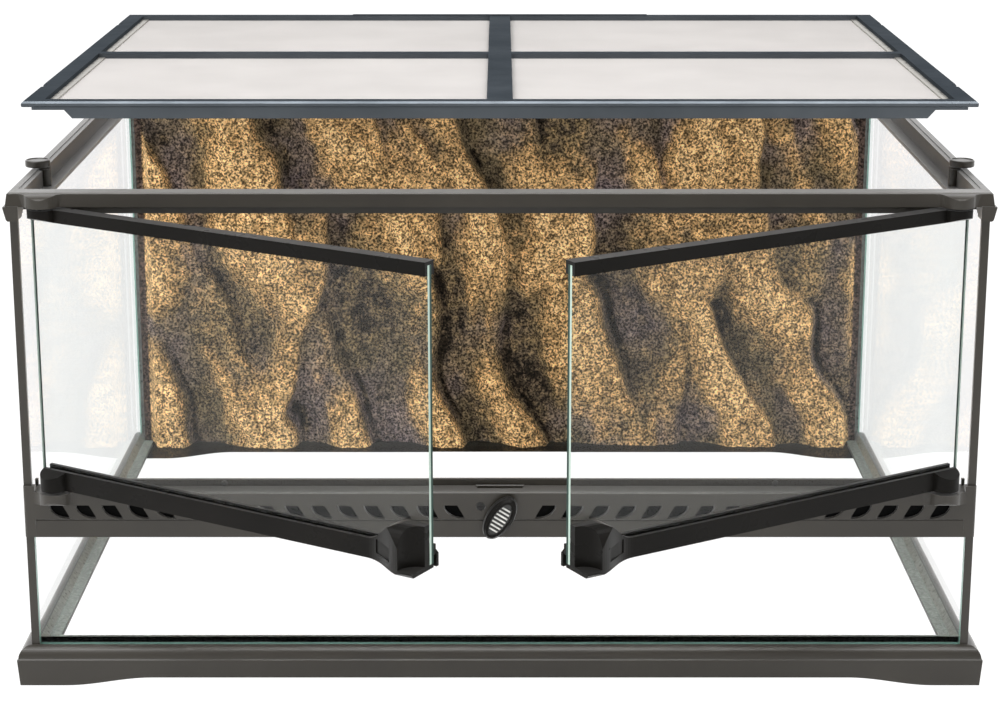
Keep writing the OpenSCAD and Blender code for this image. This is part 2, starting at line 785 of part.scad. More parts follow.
module lid_frame() {
    depth = (lid_rear - lid_front) / 2;
    low = lid_z - rim_t;
    inset = skirt_in + lid_skirt_t;
    color(lid_blue) difference() {
        union() {
            translate([0, lid_mid_y, 0]) edged_form(lid_x, depth,
                [[-0.6, low], [0, low + 0.6], [0, lid_z - 1.2], [-1.2, lid_z]]);
            // shallow skirt all round, deeper along the front and rear
            difference() {
                block([-lid_x + lid_in, lid_front + skirt_in, lid_z - lid_side_low],
                    [lid_x - lid_in, lid_rear - skirt_in, low + 0.5]);
                block([-lid_x + lid_in + lid_skirt_t, lid_front + inset, lid_z - lid_side_low - far],
                    [lid_x - lid_in - lid_skirt_t, lid_rear - inset, low]);
            }
            for (y = [lid_front + inset - lid_skirt_t / 2, lid_rear - inset + lid_skirt_t / 2])
                translate([0, y, 0]) along_y(lid_skirt_t) polygon([
                    [-flange_x, lid_z - lid_low], [flange_x, lid_z - lid_low],
                    [flange_x + flange_slant, low], [-flange_x - flange_slant, low]]);
            // raised pull along the rear rail
            block([-pull_x, lid_rear - lid_end_w + 2, lid_z - 0.5],
                [pull_x, lid_rear - 3, lid_z + pull_h]);
        }
        lid_windows(low - far, lid_z + far);
        both_sides() for (y = [-lock_y, lock_y]) translate([lock_x + disc_off, y, lid_z - lid_low])
            cylinder(r = notch_r, h = lid_low + far);
    }
}

// One sheet of fine mesh clamped under the rim and the bars
module lid_mesh() {
    x = lid_x - lid_in - lid_skirt_t - 0.3;
    top = lid_z - rim_t - 0.05;
    color(mesh_grey) block([-x, lid_front + mesh_in, top - sheet_t], [x, lid_rear - mesh_in, top]);
}

// Metal strips over the mesh's side edges
module lid_strips() {
    top = lid_z - rim_t - 0.02 + strip_t;
    x1 = lid_x - lid_rail_w - 0.1;
    color(steel) both_sides()
        for (y = lid_fields) block([x1 - strip_w, y[0] + 0.2, top - strip_t], [x1, y[1] - 0.2, top]);
}

// Frame under the mesh that presses it to the rim
module lid_clamp() {
    top = lid_z - rim_t - sheet_t - 0.1;
    x = lid_x - lid_in - lid_skirt_t - 0.3;
    color(lid_blue) difference() {
        block([-x, lid_front + mesh_in, top - clamp_t], [x, lid_rear - mesh_in, top]);
        lid_windows(top - clamp_t - far, top + far);
    }
}

// Turn knob with an eccentric disc: turned half round, the disc lies over the lid's rail
module lid_lock() {
    edge = concat(arc(disc_r - 1, 1, 1, -90, 0, 4), arc(disc_r - 1, disc_t - 1, 1, 0, 90, 4));
    color(black) translate([lock_x, 0, 0]) {
        translate([0, 0, ledge_z + 0.5]) cylinder(r = stem_r, h = recess_h + collar_h);
        translate([0, 0, tank_h + fit]) cylinder(r = collar_r, h = collar_h);
        translate([disc_off, 0, tank_h + collar_h]) rotate_extrude() polygon(concat(
            [[0, 0]], edge, [[disc_r - 1.6, disc_t - 0.6], [0, disc_t - 0.6]]));
    }
}

module lid_lock_front_left() { translate([0, -lock_y, 0]) mirror([1, 0, 0]) lid_lock(); }
module lid_lock_front_right() { translate([0, -lock_y, 0]) lid_lock(); }
module lid_lock_rear_left() { translate([0, lock_y, 0]) mirror([1, 0, 0]) lid_lock(); }
module lid_lock_rear_right() { translate([0, lock_y, 0]) lid_lock(); }

// ---- doors ----
// Built shut with the hinge axis at the origin, u along the door and v into the tank,
// then turned open about the axis

module at_left_hinge() {
    translate([-axis_x, axis_y, 0]) rotate([0, 0, -door_open]) children();
}

module door_glass() {
    color(clear)
        block([-glass_beyond, glass_v, door_bottom], [free_u, glass_v + door_glass_t, door_top]);
}

// Eye round a hinge pin: as high as its rail where the two meet, lower at its front
module hinge_eye(height, front_h) {
    intersection() {
        cylinder(r = eye_r, h = height);
        along_x(2 * eye_r + 2 * far) polygon([
            [-eye_r, -far], [eye_r + far, -far], [eye_r + far, height + far],
            [rail_v, height + far], [rail_v, height], [-eye_r, front_h]]);
    }
}

module door_top_rail() {
    low = rail_high - top_rail_h;
    color(black) difference() {
        union() {
            block([-rail_beyond, rail_v, low], [free_u, rail_v + rail_t, rail_high]);
            translate([0, 0, rail_high]) mirror([0, 0, 1]) hinge_eye(top_rail_h, top_eye_h);
            translate([0, 0, rail_high - far])
                cylinder(r = washer_r, h = band_z - rail_high - seat + far);
        }
        block([-glass_beyond - far, glass_v - fit, low - far],
            [free_u + far, glass_v + door_glass_t + fit, door_top + fit]);
        translate([0, 0, rail_high - top_eye_h + pin_cover - seat])
            cylinder(r = pin_r + running, h = top_rail_h);
    }
}

// Height and depth of the flare along the grip, t from 0 at its root to 1
function flare(t) = (1 - cos(180 * min(1, max(0, t)))) / 2;

module grip() {
    start = free_u - grip_l;
    n = 2 * steps;
    plan = [for (i = [0:n]) [start + grip_l * i / n, rail_v - grip_out * flare(1.1 * i / n)]];
    rise = [for (i = [0:n]) [start + grip_l * i / n,
        rail_low + low_rail_h + (grip_h - low_rail_h) * flare(1.5 * i / n)]];
    tip = rail_v - grip_out;
    inner = glass_v - fit;
    front = [for (i = [0:steps]) let (a = 90 * i / steps)
        [nose_v - (nose_v - tip) * cos(a), nose_z + (grip_top - nose_z) * sin(a)]];
    difference() {
        intersection() {
            translate([0, 0, rail_low]) linear_extrude(height = grip_h + far)
                polygon(concat([[start, inner]], plan, [[free_u, inner]]));
            along_y(4 * grip_out) polygon(concat([[start, rail_low]], rise, [[free_u, rail_low]]));
            translate([free_u, 0, 0]) along_x(4 * grip_l) polygon(concat(
                [[inner, grip_top], [inner, rail_low], [tip + 2, rail_low], [tip, rail_low + 2]], front));
        }
        translate([free_u + 1.5, tip + scoop_in, rail_low + scoop_floor])
            cylinder(r = scoop_r, h = grip_h);
        // flat facet let into the flank beside the scoop
        translate([free_u - 0.8 * grip_l, rail_v - 1.1, facet_z]) rotate([0, 0, -29])
            block([0, -grip_out, 0], [0.42 * grip_l, 0, facet_h]);
    }
}

module door_low_rail() {
    high = rail_low + low_rail_h;
    color(black) difference() {
        union() {
            block([-rail_beyond, rail_v, rail_low], [free_u, glass_v, high]);
            block([-rail_beyond, glass_v, rail_low], [free_u, rail_v + rail_t, high + back_lip]);
            translate([0, 0, rail_low]) hinge_eye(low_rail_h, low_eye_h);
            translate([0, 0, bar_top + seat]) cylinder(r = washer_r, h = rail_low - bar_top);
            grip();
        }
        block([-glass_beyond - far, glass_v - fit, door_bottom - fit],
            [free_u + far, glass_v + door_glass_t + fit, high + back_lip + far]);
        translate([0, 0, bar_top])
            cylinder(r = pin_r + running, h = rail_low + low_eye_h - pin_cover + seat - bar_top);
        // pocket that the lock's finger rises into
        block([free_u - strike_bite, glass_v + door_glass_t, rail_low - far],
            [free_u + far, rail_v + rail_t + far, rail_low + 7.3]);
    }
}

// Plate behind the pocket, with a slanted upper edge
module door_strike() {
    v = rail_v + rail_t;
    color(black) difference() {
        block([free_u - strike_l, v, strike_z], [free_u + 0.5, v + strike_t, strike_z + strike_h]);
        translate([free_u + 0.5, v, strike_z + strike_h]) rotate([0, 45, 0])
            cube([3, 3 * strike_t, 3], center = true);
    }
}

module door_left_glass() { at_left_hinge() door_glass(); }
module door_left_top_rail() { at_left_hinge() door_top_rail(); }
module door_left_low_rail() { at_left_hinge() door_low_rail(); }
module door_left_strike() { at_left_hinge() door_strike(); }
module door_right_glass() { mirror([1, 0, 0]) door_left_glass(); }
module door_right_top_rail() { mirror([1, 0, 0]) door_left_top_rail(); }
module door_right_low_rail() { mirror([1, 0, 0]) door_left_low_rail(); }
module door_right_strike() { mirror([1, 0, 0]) door_left_strike(); }

base_frame();
bottom_glass();
left_glass();
right_glass();
back_glass();
front_glass();
lower_posts();
upper_posts();
corner_seals();
floor_seal();
vent_bar();
vent_mesh();
door_bumpers();
top_frame();
hinge_pins();
background_panel();
lock_knob();
lock_insert();
lock_cam();
lock_cover();
lock_screw();
lid_frame();
lid_mesh();
lid_strips();
lid_clamp();
lid_lock_front_left();
lid_lock_front_right();
lid_lock_rear_left();
lid_lock_rear_right();
inlet_shutter_left();
inlet_shutter_right();
door_left_glass();
door_left_top_rail();
door_left_low_rail();
door_left_strike();
door_right_glass();
door_right_top_rail();
door_right_low_rail();
door_right_strike();
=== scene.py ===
"""Front-opening glass terrarium: finishes, rock-relief back panel, sealant, camera and light."""
import json
import math

import bmesh
import bpy
import numpy as np
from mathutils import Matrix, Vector, noise


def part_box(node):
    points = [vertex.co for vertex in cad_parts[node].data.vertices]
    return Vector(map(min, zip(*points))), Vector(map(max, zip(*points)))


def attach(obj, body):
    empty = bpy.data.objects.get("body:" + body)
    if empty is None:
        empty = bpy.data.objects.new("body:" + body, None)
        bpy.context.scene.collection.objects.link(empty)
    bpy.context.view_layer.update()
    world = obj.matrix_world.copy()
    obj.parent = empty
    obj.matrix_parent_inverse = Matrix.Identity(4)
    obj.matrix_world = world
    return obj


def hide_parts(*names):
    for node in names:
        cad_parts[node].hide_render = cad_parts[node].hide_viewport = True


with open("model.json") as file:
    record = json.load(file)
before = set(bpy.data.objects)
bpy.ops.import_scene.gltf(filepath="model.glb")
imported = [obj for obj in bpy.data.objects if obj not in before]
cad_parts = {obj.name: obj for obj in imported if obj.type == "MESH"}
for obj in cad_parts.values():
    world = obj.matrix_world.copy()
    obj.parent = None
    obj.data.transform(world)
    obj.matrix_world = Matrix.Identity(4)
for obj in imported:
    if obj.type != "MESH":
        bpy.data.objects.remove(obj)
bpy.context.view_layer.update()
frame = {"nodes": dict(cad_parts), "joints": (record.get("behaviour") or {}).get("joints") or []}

MM = 0.001
NODES = frame["nodes"]
JOINTS = {joint["name"]: joint for joint in frame["joints"]}
TANK = "tank"


# ---- colours, nodes and objects ----

def rgb(hex_colour):
    """An sRGB hex colour as linear RGBA."""
    channels = [int(hex_colour[i:i + 2], 16) / 255 for i in (1, 3, 5)]
    linear = [c / 12.92 if c <= 0.04045 else ((c + 0.055) / 1.055) ** 2.4 for c in channels]
    return (*linear, 1.0)


def add_node(tree, kind, inputs=(), stops=(), **settings):
    """Adds a shader node. inputs are values, nodes or outputs of nodes: a list fills the sockets in
    turn, a dict names or numbers them. stops are a ramp's places with their hex colours. On a Mix
    of colours the sockets are 0 for the share, 6 and 7 for the colours, and 2 for the result."""
    node = tree.nodes.new("ShaderNode" + kind)
    for name, value in settings.items():
        setattr(node, name, value)
    for socket, value in inputs.items() if isinstance(inputs, dict) else enumerate(inputs):
        if isinstance(value, bpy.types.Node):
            value = value.outputs[0]
        if isinstance(value, bpy.types.NodeSocket):
            tree.links.new(value, node.inputs[socket])
        else:
            node.inputs[socket].default_value = value
    while stops and len(node.color_ramp.elements) < len(stops):
        node.color_ramp.elements.new(0.5)
    for index, (at, colour) in enumerate(stops):
        node.color_ramp.elements[index].position = at
        node.color_ramp.elements[index].color = rgb(colour)
    return node


def new_material(name):
    """An empty node material and its node tree. In it, TexCoord's Object is the surface point in
    metres, in the part's own frame."""
    material = bpy.data.materials.new(name)
    material.use_nodes = True
    material.node_tree.nodes.clear()
    return material, material.node_tree


def new_object(name, data):
    """A new object in the scene."""
    made = bpy.data.objects.new(name, data)
    bpy.context.collection.objects.link(made)
    return made


# ---- materials ----

# patterns: size of the features in mm, detail, harshness
CLOUD = (45, 3, 0.5)        # slow change of colour
HANDLING = (14, 3, 0.5)     # gloss that hands have rubbed
FINE_GRAIN = (0.9, 2, 0.6)  # grain of the mould or of the coat
MIDDLE = (0.3, 0.7)         # where nearly all values of a pattern lie


def varied_finish(name, tones, dullness, bumps, sockets):
    """A material whose surface varies with three patterns: its colour between the stops of tones,
    its roughness from the low to the high value of dullness, and its height by bumps, given by
    their depth in mm and strength. sockets holds the shader's other values."""
    material, tree = new_material(name)
    where = add_node(tree, "TexCoord").outputs
    (tone_pattern, stops), (dull_pattern, low, high), (bump_pattern, depth_mm, strength) = (
        tones, dullness, bumps)
    toned, dulled, raised = (
        add_node(tree, "TexNoise", {"Vector": where["Object"], "Scale": 1 / (size_mm * MM),
                                    "Detail": detail, "Roughness": harshness})
        for size_mm, detail, harshness in (tone_pattern, dull_pattern, bump_pattern))
    shader = add_node(tree, "BsdfPrincipled", {
        "Base Color": add_node(tree, "ValToRGB", [toned], stops),
        "Roughness": add_node(tree, "MapRange", [dulled, *MIDDLE, low, high]),
        "Normal": add_node(tree, "Bump", {
            "Height": raised, "Distance": depth_mm * MM, "Strength": strength}),
        **sockets})
    add_node(tree, "OutputMaterial", [shader])
    return material


def moulded_abs(name, colour, lighter, dullness, mirror, bloom):
    """Injection-moulded ABS with a fine spark-eroded grain: satin and dark face on, and with a
    dusty bloom that brightens it at a grazing angle. The 0.5 mm grain is drawn at 0.9 mm."""
    return varied_finish(
        name, (CLOUD, [(0.3, colour), (0.75, lighter)]), (HANDLING, *dullness),
        (FINE_GRAIN, 0.025, 0.3),
        {"IOR": 1.53, "Specular IOR Level": mirror, "Sheen Weight": bloom, "Sheen Roughness": 0.3})


def black_steel(name, colour, lighter, dullness, mirror):
    """Steel under a thin dull black coat, which hides the metal: only a weak highlight is left. The
    coat's 0.5 mm grain is drawn at 0.9 mm. On the vent mesh the near-black is painted shade, for
    the dark inside the vent slots."""
    return varied_finish(
        name, (CLOUD, [(0.3, colour), (0.75, lighter)]), (HANDLING, *dullness),
        (FINE_GRAIN, 0.025, 0.3), {"Specular IOR Level": mirror})


def slate_lacquer():
    """Dark slate lacquer with a dull metallic pigment on the lid's frame: an even low sheen from
    every side, without the pale bloom that the moulded parts show at a grazing angle."""
    return varied_finish(
        "slate_lacquer", (CLOUD, [(0.3, "#50555a"), (0.75, "#5c6166")]), (HANDLING, 0.4, 0.5),
        (FINE_GRAIN, 0.03, 0.4), {"Metallic": 1.0, "Specular Tint": rgb("#8d8f91")})


def zinc_steel():
    """Zinc-plated mild steel: a soft grey metal with a faint mottle in its colour and gloss."""
    spangle = (6, 4, 0.5)
    return varied_finish(
        "zinc_plated_steel", (spangle, [(0.3, "#8f8c86"), (0.7, "#b3b0a9")]),
        (spangle, 0.32, 0.5), ((0.8, 2, 0.5), 0.02, 0.4), {"Metallic": 1.0})


def black_silicone():
    """Cured black silicone of the small bumpers: rubbery and uneven, a little glossy in places."""
    return varied_finish(
        "black_silicone", ((5, 3, 0.5), [(0.3, "#23221f"), (0.7, "#34332f")]),
        ((3, 2, 0.5), 0.3, 0.5), ((4, 3, 0.5), 0.2, 0.4), {})


def clear_silicone():
    """Translucent silicone bead: milky grey, mottled with the small waves of a hand-drawn joint."""
    wave = (2.5, 4, 0.6)
    return varied_finish(
        "clear_silicone", (wave, [(0.3, "#8d948f"), (0.7, "#c3c9c5")]), (wave, 0.25, 0.45),
        (wave, 0.25, 0.5), {"Transmission Weight": 0.35, "IOR": 1.4})


def bedding_sealant():
    """Grey-green sealant squeezed flat between glass and frame: mottled where it wets the pane."""
    material, tree = new_material("bedding_sealant")
    where = add_node(tree, "TexCoord").outputs
    mottle = add_node(tree, "TexNoise", {
        "Vector": where["Object"], "Scale": 1 / (2.2 * MM), "Detail": 5, "Roughness": 0.7})
    shader = add_node(tree, "BsdfPrincipled", {
        "Base Color": add_node(tree, "ValToRGB", [mottle], [
            (0.3, "#59605b"), (0.5, "#7c847e"), (0.72, "#98a099")]),
        "Roughness": 0.45,
        "Normal": add_node(tree, "Bump", {
            "Height": mottle, "Distance": 0.15 * MM, "Strength": 0.5})})
    add_node(tree, "OutputMaterial", [shader])
    return material


FOIL_DEPTH = 0.25 * MM      # how far the foil reaches down from the tops of the ribs


def stamped_ribs(node):
    """Black ABS plate whose raised ribs are hot-stamped with a pale foil on their tops only. The
    foil is rubbed in spots of 3 mm."""
    material, tree = new_material("foil_stamped_abs")
    where = add_node(tree, "TexCoord").outputs
    front = min(vertex.co.y for vertex in NODES[node].data.vertices)
    behind = add_node(tree, "SeparateXYZ", [where["Object"]]).outputs[1]
    on_top = add_node(tree, "Math", [behind, front + FOIL_DEPTH], operation="LESS_THAN")
    rubbed = add_node(tree, "TexNoise", {
        "Vector": where["Object"], "Scale": 1 / (3 * MM), "Detail": 3, "Roughness": 0.5})
    foil = add_node(tree, "ValToRGB", [rubbed], [(0.3, "#a9a8a4"), (0.7, "#d4d3cf")])
    colour = add_node(tree, "Mix", {0: on_top, 6: rgb("#141311"), 7: foil}, data_type="RGBA")
    shader = add_node(tree, "BsdfPrincipled", {
        "Base Color": colour.outputs[2],
        "Roughness": add_node(tree, "MapRange", [rubbed, *MIDDLE, 0.3, 0.45])})
    add_node(tree, "OutputMaterial", [shader])
    return material


# the pale and the deep edge greens are painted light and painted shade across the door panes'
# edges; the sea green is the glass's own edge colour
CLEAR, SEA_GREEN, LIT_EDGE_GREEN, SHADED_EDGE_GREEN = "#ffffff", "#9ecdbf", "#afc2b7", "#2c403a"
EDGE_ROUGHNESS = 0.3        # ground and seamed glass
EDGE_CLEARNESS = 0.25       # share of the light that a plain edge lets through


def float_glass(name, normal, tint, edge_tint, ior, layers=None):
    """Clear float glass: colourless through its faces, with a reflection as faint as a low ior
    makes it, and green in its ground edges, where the light runs along inside the pane. layers are
    the two offsets along normal between which an edge fades from edge_tint to a dark sea green:
    painted light near the front face, painted shade behind it."""
    material, tree = new_material(name)
    where = add_node(tree, "TexCoord").outputs
    facing = add_node(tree, "VectorMath", [where["Normal"], normal], operation="DOT_PRODUCT")
    turned = add_node(tree, "Math", [facing.outputs["Value"]], operation="ABSOLUTE")
    on_edge = add_node(tree, "Math", [turned, 0.5], operation="LESS_THAN")
    edge_colour, clearness = rgb(edge_tint), EDGE_CLEARNESS
    if layers:
        # the edge is painted light near the front face and painted shade behind it
        offset = add_node(tree, "VectorMath", [where["Object"], normal], operation="DOT_PRODUCT")
        edge_shade = add_node(tree, "MapRange", [offset.outputs["Value"], *layers, 0.0, 1.0])
        edge_colour = add_node(tree, "Mix", {
            0: edge_shade, 6: rgb(edge_tint), 7: rgb(SHADED_EDGE_GREEN)}, data_type="RGBA").outputs[2]
        clearness = 0.0
    colour = add_node(tree, "Mix", {0: on_edge, 6: rgb(tint), 7: edge_colour}, data_type="RGBA")
    shader = add_node(tree, "BsdfPrincipled", {
        "Base Color": colour.outputs[2],
        "Roughness": add_node(tree, "MapRange", [on_edge, 0.0, 1.0, 0.0, EDGE_ROUGHNESS]),
        "IOR": ior,
        "Transmission Weight": add_node(tree, "MapRange", [on_edge, 0.0, 1.0, 1.0, clearness])})
    add_node(tree, "OutputMaterial", [shader])
    return material


THREAD_PITCH = 2.4 * MM
PASSED_ON = 0.5             # share of the light that goes on through the screen


def woven_screen():
    """Fine galvanised insect screen: pale and dull, and like a scrim it passes half the light on,
    so it glows softly from below. Real threads lie 1.4 mm apart; they are drawn 2.4 mm apart."""
    material, tree = new_material("galvanised_screen")
    where = add_node(tree, "TexCoord").outputs
    along = add_node(tree, "SeparateXYZ", [where["Object"]]).outputs
    turns = [add_node(tree, "Math", [along[axis], 2 * math.pi / THREAD_PITCH], operation="MULTIPLY")
             for axis in (0, 1)]
    waves = [add_node(tree, "Math", [turn], operation="SINE") for turn in turns]
    weave = add_node(tree, "Math", waves, operation="MULTIPLY")
    tarnish = add_node(tree, "TexNoise", {
        "Vector": where["Object"], "Scale": 1 / (60 * MM), "Detail": 3, "Roughness": 0.5})
    zinc = add_node(tree, "ValToRGB", [tarnish], [(0.3, "#cac7c5"), (0.7, "#d2cfcd")])
    crossing = add_node(tree, "MapRange", [weave, -1, 1, 0.0, 0.25])
    threads = add_node(tree, "Mix", {
        0: crossing, 6: zinc, 7: rgb("#a5a19e")}, data_type="RGBA").outputs[2]
    shader = add_node(tree, "BsdfPrincipled", {
        "Base Color": threads, "Roughness": 0.7, "Specular IOR Level": 0.1,
        "Normal": add_node(tree, "Bump", {
            "Height": weave, "Distance": 0.12 * MM, "Strength": 0.6})})
    glow = add_node(tree, "BsdfTranslucent", [threads])
    scrim = add_node(tree, "MixShader", [PASSED_ON, shader, glow])
    add_node(tree, "OutputMaterial", [scrim])
    return material


# what each point of the rock carries: its height, how grey it is, and whether it is on the rim,
# which is painted with shade
ROCK_MARKS = ("crest", "flank", "rim")


def rock_foam():
    """Painted rigid foam cast as sandstone: ochre on the crests, slate brown in the troughs and
    creases, lilac grey on some flanks, over a coarse sand grit of 2 to 4 mm. The flat rim at the
    left and right edge is painted dark brown: painted shade."""
    material, tree = new_material("painted_rock_foam")
    where = add_node(tree, "TexCoord").outputs
    crest, flank, rim = (add_node(tree, "Attribute", attribute_name=mark).outputs["Fac"]
                         for mark in ROCK_MARKS)
    grains, grit, clumps, patches, washes = (
        add_node(tree, "TexNoise", {"Vector": where["Object"], "Scale": 1 / (size_mm * MM),
                                    "Detail": detail, "Roughness": harshness})
        for size_mm, detail, harshness in (
            (1.7, 1, 0.5), (3.4, 3, 0.7), (6, 3, 0.65), (14, 4, 0.65), (70, 2, 0.5)))
    # patches and grit wear the paint as if a place lay higher or lower than it does
    worn = crest
    for pattern, reach in ((patches, 0.22), (grit, 0.13)):
        shift = add_node(tree, "MapRange", [pattern, *MIDDLE, -reach, reach])
        worn = add_node(tree, "Math", [worn, shift], operation="ADD")
    stone = add_node(tree, "ValToRGB", [worn], [
        (0.0, "#2b241b"), (0.14, "#55493a"), (0.42, "#7e6b4c"),
        (0.6, "#a08259"), (0.8, "#bb9766"), (1.0, "#d2ae7b")])
    wash = add_node(tree, "ValToRGB", [washes], [(0.4, "#675b45"), (0.6, "#75686a")])
    washed = add_node(tree, "Mix", {0: flank, 6: stone, 7: wash}, data_type="RGBA").outputs[2]
    # the flat rim at the left and right edge is painted dark brown: painted shade, as that recessed
    # strip lies in shadow
    colour = add_node(tree, "Mix", {0: rim, 6: washed, 7: rgb("#4d4039")}, data_type="RGBA")
    # each size of sand darkens and lightens the paint, over the middle of its pattern's range
    grain_shade, grit_shade, clump_shade = (
        add_node(tree, "MapRange", [pattern, *middle, *shade])
        for pattern, middle, shade in ((grains, (0.38, 0.59), (0.3, 1.55)),
                                       (grit, (0.36, 0.64), (0.65, 1.35)),
                                       (clumps, (0.36, 0.64), (0.72, 1.3))))
    sand = add_node(tree, "Math", [grain_shade, grit_shade], operation="MULTIPLY")
    sand = add_node(tree, "Math", [sand, clump_shade], operation="MULTIPLY")
    sanded = add_node(tree, "VectorMath", {0: colour.outputs[2], "Scale": sand}, operation="SCALE")
    shader = add_node(tree, "BsdfPrincipled", {
        "Base Color": sanded,
        "Roughness": add_node(tree, "MapRange", [grit, *MIDDLE, 0.75, 0.95]),
        "Specular IOR Level": 0.2,
        "Normal": add_node(tree, "Bump", {
            "Height": grit, "Distance": 2.6 * MM, "Strength": 0.9})})
    add_node(tree, "OutputMaterial", [shader])
    return material


# ---- dress the CAD nodes ----

def dress(material, *names):
    """Gives the material to every slot of the named CAD nodes."""
    for name in names:
        slots = NODES[name].material_slots
        if not slots:
            NODES[name].data.materials.append(material)
        for slot in slots:
            slot.material = material


LIT_TO_SHADED_LAYERS = (0.4, 0.55)   # shares of a door pane's thickness between which its edge turns from painted light to painted shade


def dress_door_glass(side):
    """Door glass on the left (-1) or right (1), with an edge that is pale near the front only:
    painted light there, and painted shade behind it.
    """
    word = "left" if side < 0 else "right"
    pane = f"door_{word}_glass"
    angle = -math.radians(JOINTS[f"door_{word}_swing"]["range_deg"][0])
    normal = Vector((-side * math.sin(angle), math.cos(angle), 0.0))
    offsets = [normal.dot(vertex.co) for vertex in NODES[pane].data.vertices]
    front, back = min(offsets), max(offsets)
    layers = [front + share * (back - front) for share in LIT_TO_SHADED_LAYERS]
    dress(float_glass(f"{word}_door_glass", normal, "#fbfdfc", LIT_EDGE_GREEN, 1.23, layers), pane)


dress(moulded_abs("frame_abs", "#25211b", "#2b2720", (0.35, 0.4), mirror=0.38, bloom=0.95),
      "base_frame", "vent_bar", "top_frame", "upper_posts", "lower_posts",
      "inlet_shutter_left", "inlet_shutter_right", "lock_cover",
      "lid_lock_front_left", "lid_lock_front_right", "lid_lock_rear_left", "lid_lock_rear_right")
dress(moulded_abs("door_abs", "#0e0d0b", "#141210", (0.26, 0.34), mirror=0.06, bloom=0.35),
      "lock_knob", "door_left_top_rail", "door_left_low_rail", "door_left_strike",
      "door_right_top_rail", "door_right_low_rail", "door_right_strike")
dress(stamped_ribs("lock_insert"), "lock_insert")
dress(slate_lacquer(), "lid_frame", "lid_clamp")
dress(zinc_steel(), "hinge_pins", "lock_cam", "lid_strips")
dress(black_steel("blackened_steel", "#0c0b0a", "#151412", (0.3, 0.4), mirror=0.3), "lock_screw")
# the vent mesh's near-black colour is painted shade, for the dark inside the vent slots
dress(black_steel("shade_black_vent_mesh", "#030303", "#060606", (0.6, 0.7), mirror=0.05), "vent_mesh")
dress(black_silicone(), "door_bumpers")
dress(clear_silicone(), "corner_seals", "floor_seal")
dress(float_glass("side_float_glass", (1, 0, 0), CLEAR, SEA_GREEN, 1.07),
      "left_glass", "right_glass")
dress(float_glass("front_float_glass", (0, 1, 0), CLEAR, SEA_GREEN, 1.12),
      "front_glass", "back_glass")
dress(float_glass("floor_float_glass", (0, 0, 1), CLEAR, SEA_GREEN, 1.08), "bottom_glass")
dress_door_glass(-1)
dress_door_glass(1)
dress(woven_screen(), "lid_mesh")


# ---- rock panel ----

# two sets of ribs: mm from rib to rib, mm sideways for each mm of height, start as a share of the
# pitch, mm of height over which a rib changes, seed
LEANING_RIBS = (78, 0.36, 0, 110, 11.0)
CROSSING_RIBS = (104, -0.16, 0.4, 100, 33.0)

# what varies along a rib, as a share of its pitch or of its full height: middle, reach, change from
# rib to rib, change up the rib, seed
CREST_AT = (0.5, 0.3, 3.7, 1, 0)
FALL_AT = (0.74, 0.22, 2.9, 0.8, 4)
RIB_HEIGHT = (0.8, 0.9, 5.1, 1.3, 9)

LOWEST_CREST = 0.35
TROUGH = 0.16
FALL_WIDTH = 0.13
CREASE_AT, CREASE_WIDTH, CREASE_DEPTH = 0.12, 0.04, 0.26    # measured from where the fall begins

# swells: width and height in mm, seed
BENDS = (150, 190, 3.1)
KINKS = (42, 58, 8.2)
FURROWS = (15, 60, 27.0)
LUMPS = (13, 17, 41.0)

BEND_MM, KINK_MM = 46, 15   # how far they push a rib sideways
CROSSING_BEND = -1.1        # the crossing ribs bend the other way, and a little more
FURROW_LEAN = 0.4           # mm sideways for each mm of height
FURROW_HEIGHT, LUMP_HEIGHT = 0.16, 0.13     # as shares of a rib's full height

# zones: level (a higher one makes them larger), contrast, and their swells
FORK_ZONES = (0.35, 2.6, (120, 140, 71.0))
GREY_ZONES = (0.5, 2.2, (60, 110, 55.0))

# the grey wash: its strength, the height that it ends at, and how it fades above and below
GREYEST, FLANK_TOP, TOP_FADE, TROUGH_FADE = 0.65, 0.7, 0.35, 0.12

POINT_GAP = 1.6 * MM        # between the points of the relief
RIM_WIDTH = 5 * MM          # flat foam along the panel's left and right edge
SHOULDER = 9 * MM           # over which the relief rises from that rim
SLAB = 11 * MM              # flat foam behind the lowest ground
CUT_LEVELS = (1, 99.5)      # percentiles of the relief that become its lowest and highest ground


def smooth_step(value):
    """Rises from 0 to 1 as the value does, level at both ends and beyond them."""
    value = min(1.0, max(0.0, value))
    return value * value * (3 - 2 * value)


def swell(x, z, wide, tall, seed):
    """Smooth Perlin noise, about -1 to 1, in swells about wide by tall."""
    return noise.noise(Vector((x / wide, z / tall, seed)))


def zone(x, z, level, contrast, swells):
    """1 inside soft-edged zones, and 0 outside them."""
    return smooth_step(level + contrast * swell(x, z, *swells))


def rubble(x, z, wide, tall, seed):
    """Three layers of swells, each half as wide, tall and high as the one before."""
    return sum(swell(x, z, wide / 2 ** layer, tall / 2 ** layer, seed + 7.3 * layer) / 2 ** layer
               for layer in range(3))


def rib(x, z, bend, pitch, lean, start, change, seed):
    """Height in a set of ribs, each a long rise, a crest, a steep fall to a crease and a trough."""
    phase = (x + lean * z + bend) / pitch + start
    number = math.floor(phase)
    along = phase - number

    def vary(middle, reach, across, up, shift):
        """A share that differs up the rib and from rib to rib."""
        return middle + reach * noise.noise(
            Vector((number * across, up * (z / change), seed + shift)))

    crest = vary(*CREST_AT)
    fall = vary(*FALL_AT)
    height = min(1.0, max(LOWEST_CREST, vary(*RIB_HEIGHT)))
    profile = smooth_step(along / crest) * (1 - smooth_step((along - fall) / FALL_WIDTH))
    crease = math.exp(-((along - fall - CREASE_AT) / CREASE_WIDTH) ** 2)
    return TROUGH + (1 - TROUGH) * profile * height - CREASE_DEPTH * crease


